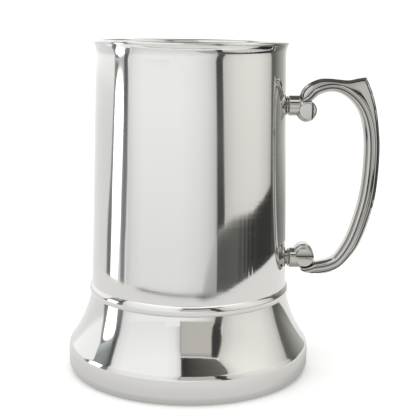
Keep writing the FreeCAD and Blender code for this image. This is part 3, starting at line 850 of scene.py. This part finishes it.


# on the two discs, the last two entries place painted shade along the crease of the scroll's face
scrollSettings = {
    "upperDisc": {"centre": (52.95, 0, 121.35), "radius": 4.45, "half": 4.75, "flat": 2.7, "cone": 0.06,
                  "coneWide": 0.5, "rimDrop": 1.5, "slopeAlong": (1, 0),
                  "slopes": [(1.85, 0.5), (2.3, -0.6), (2.6, 0.6)],
                  "paintedShadeAbove": 3.3, "paintedShade": [(1.75, 0), (1.95, 1), (2.5, 1), (2.7, 0), (9, 0)]},
    "upperWrap": {"centre": (52.5, 0, 120.9), "radius": 4.65, "half": 3.75, "flat": 3.5, "cone": 0.1,
                  "coneWide": 0.3, "rimDrop": 0.8, "slopeAlong": (1, 0), "slopes": []},
    "lowerDisc": {"centre": (53.6, 0, 53.1), "radius": 4.6, "half": 4.75, "flat": 3.6, "cone": 0.08,
                  "coneWide": 0.3, "rimDrop": 1.2, "slopeAlong": (0, 1), "slopes": [(0.2, 0.5), (0.6, -0.35)],
                  "paintedShadeAbove": 3.3, "paintedShade": [(0.1, 0), (0.25, 1), (0.65, 0.92), (1.2, 0.6), (2.4, 0.25),
                                             (3.4, 0), (9, 0)]},
    "lowerWrap": {"centre": (53.1, 0, 54.65), "radius": 4.65, "half": 3.6, "flat": 3.2, "cone": 0.1,
                  "coneWide": 0.3, "rimDrop": 1.0, "slopeAlong": (1, 0), "slopes": []}}


def joinSolids(name, makers, finish):
    # every closed solid is made on its own and united, so the piece is one clean skin
    made = []
    for number, maker in enumerate(makers):
        mesh = bmesh.new()
        maker(mesh)
        bmesh.ops.remove_doubles(mesh, verts=mesh.verts, dist=weldDistance)
        bmesh.ops.recalc_face_normals(mesh, faces=mesh.faces)
        data = bpy.data.meshes.new(f"{name}Part{number}")
        mesh.to_mesh(data)
        mesh.free()
        part = bpy.data.objects.new(f"{name}Part{number}", data)
        scene.collection.objects.link(part)
        made.append(part)
    body = made[0]
    for part in made[1:]:
        union = body.modifiers.new("union", "BOOLEAN")
        union.operation, union.solver, union.object = "UNION", "EXACT", part
    baked(body)
    for part in made[1:]:
        bpy.data.objects.remove(part)
    body.name = name
    body.data.materials.clear()
    body.data.materials.append(finish)
    return body


def scrollDisc(part):
    # a round end whose faces fall away from straight creases, as the casting's do
    given = scrollSettings[part]
    thinnestShare = 0.25

    def build(mesh):
        before = set(mesh.verts)
        lathed(mesh, scrollProfile(given), given["centre"], (0, -1, 0))
        across, up = given["slopeAlong"]
        for vert in set(mesh.verts) - before:
            x, z = vert.co.x / mm - given["centre"][0], vert.co.z / mm - given["centre"][2]
            place = x * across + z * up
            drop = sum(max(0.0, place - start) * slope for start, slope in given["slopes"])
            high = abs(vert.co.y)
            vert.co.y = math.copysign(max(high - drop * mm, high * thinnestShare), vert.co.y)
    return build


# where each collar ends, along X, and how high its axis is
collarRadius = 4.75
collarEnds = {}
for side in ("upper", "lower"):
    low, high = cadCorners(side + "_collar")
    collarEnds[side] = {"start": low[0], "face": high[0], "axis": low[2] + collarRadius}

# short round seats where the handle stands on its collars; out and up shift them from a collar's end
seatSettings = {"upper": {"out": 0.0, "up": -0.4, "length": 3.4},
                "lower": {"out": 0.02, "up": 0.1, "length": 2.6},
                "radius": 4.6, "edge": 0.4, "softEdge": (0.1, 0.12), "dome": 1.2, "domeTop": 1.4}


def seatBoss(side):
    given = seatSettings
    radius, edge, length = given["radius"], given["edge"], given[side]["length"]
    soft, rise = given["softEdge"]
    end = collarEnds[side]
    centre = (end["face"] + given[side]["out"], 0, end["axis"] + given[side]["up"])

    def build(mesh):
        lathed(mesh, [(0, 0), (radius - edge, 0), (radius - soft, rise), (radius, edge),
                      (radius, length - given["dome"]), (radius - edge, length - edge),
                      (radius - given["domeTop"], length), (0, length)], centre, (1, 0, 0))
    return build


castHandle = joinSolids("castHandle", [
    lambda mesh: strandMesh(mesh, handleSettings), scrollDisc("upperDisc"), scrollDisc("upperWrap"),
    scrollDisc("lowerDisc"), scrollDisc("lowerWrap"), seatBoss("upper"), seatBoss("lower")], castMetal)
finishMesh(castHandle, sharpAngle=40)


def discPaintedShade(piece, given):
    # painted shade along the straight crease of a scroll's face, kept in the same attribute as the strand's
    rimSlack = 0.02
    values = piece.data.attributes["recess"].data
    across, up = given["slopeAlong"]
    for vert in piece.data.vertices:
        x, z = vert.co.x / mm - given["centre"][0], vert.co.z / mm - given["centre"][2]
        if math.hypot(x, z) < given["radius"] + rimSlack and abs(vert.co.y) > given["paintedShadeAbove"] * mm:
            place = x * across + z * up
            values[vert.index].value = valueAt(given["paintedShade"], place) if place > given["paintedShade"][0][0] else 0


for part in ("upperDisc", "lowerDisc"):
    discPaintedShade(castHandle, scrollSettings[part])
settle(castHandle, "cast_handle", "handle")
print("handle made")


def alongX(piece, height):
    # a piece turned round Z is laid along X at this height
    piece.data.transform(Matrix.Translation((0, 0, height * mm)) @ Matrix.Rotation(math.pi / 2, 4, "Y"))
    return piece


fittingSettings = {"collarRadius": collarRadius, "edge": 0.6, "bore": 2.05,
                   "neckRadius": 3.3, "groove": 0.32, "flangeRadius": 4.3, "flangeThick": 0.55,
                   "flangeEdge": 0.2, "sink": 0.25, "steps": 128}
for side in ("upper", "lower"):
    given = fittingSettings
    start, face, axis = (collarEnds[side][key] for key in ("start", "face", "axis"))
    r, e = given["collarRadius"], given["edge"]
    collar = turned(side + "Collar", [
        (given["bore"], start), (r - e, start), (r, start + e, e, 1), (r, face - e), (r - e, face, e, 1),
        (given["bore"], face)], fittingMetal, steps=given["steps"], longest=0.6)
    settle(finishMesh(alongX(collar, axis)), "turned_fittings", side + "_collar")
    barrel = barrelSettings
    wallRadius = (barrel["topRadius"] + (barrel["flareStart"] - axis)
                  * (barrel["bottomRadius"] - barrel["topRadius"]) / (barrel["flareStart"] - barrel["seam"]))
    n, flange, groove = given["neckRadius"], given["flangeRadius"], start - given["groove"]
    thick, curve = given["flangeThick"], given["flangeEdge"]
    neck = turned(side + "NeckRing", [
        (given["bore"], wallRadius - given["sink"]), (n, wallRadius - given["sink"]), (n, groove - thick),
        (flange - curve, groove - thick), (flange, groove - thick + curve, curve, 1),
        (flange, groove - curve), (flange - curve, groove, curve, 1), (n, groove), (n, start),
        (given["bore"], start)], fittingMetal, steps=given["steps"], longest=0.4)
    settle(finishMesh(alongX(neck, axis)), "turned_fittings", side + "_neck_ring")

# the screws and wall plates stay as the frame gives them
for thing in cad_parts.values():
    if not thing.hide_render:
        thing.data.materials.clear()
        thing.data.materials.append(hardwareMetal)
print("fittings turned")
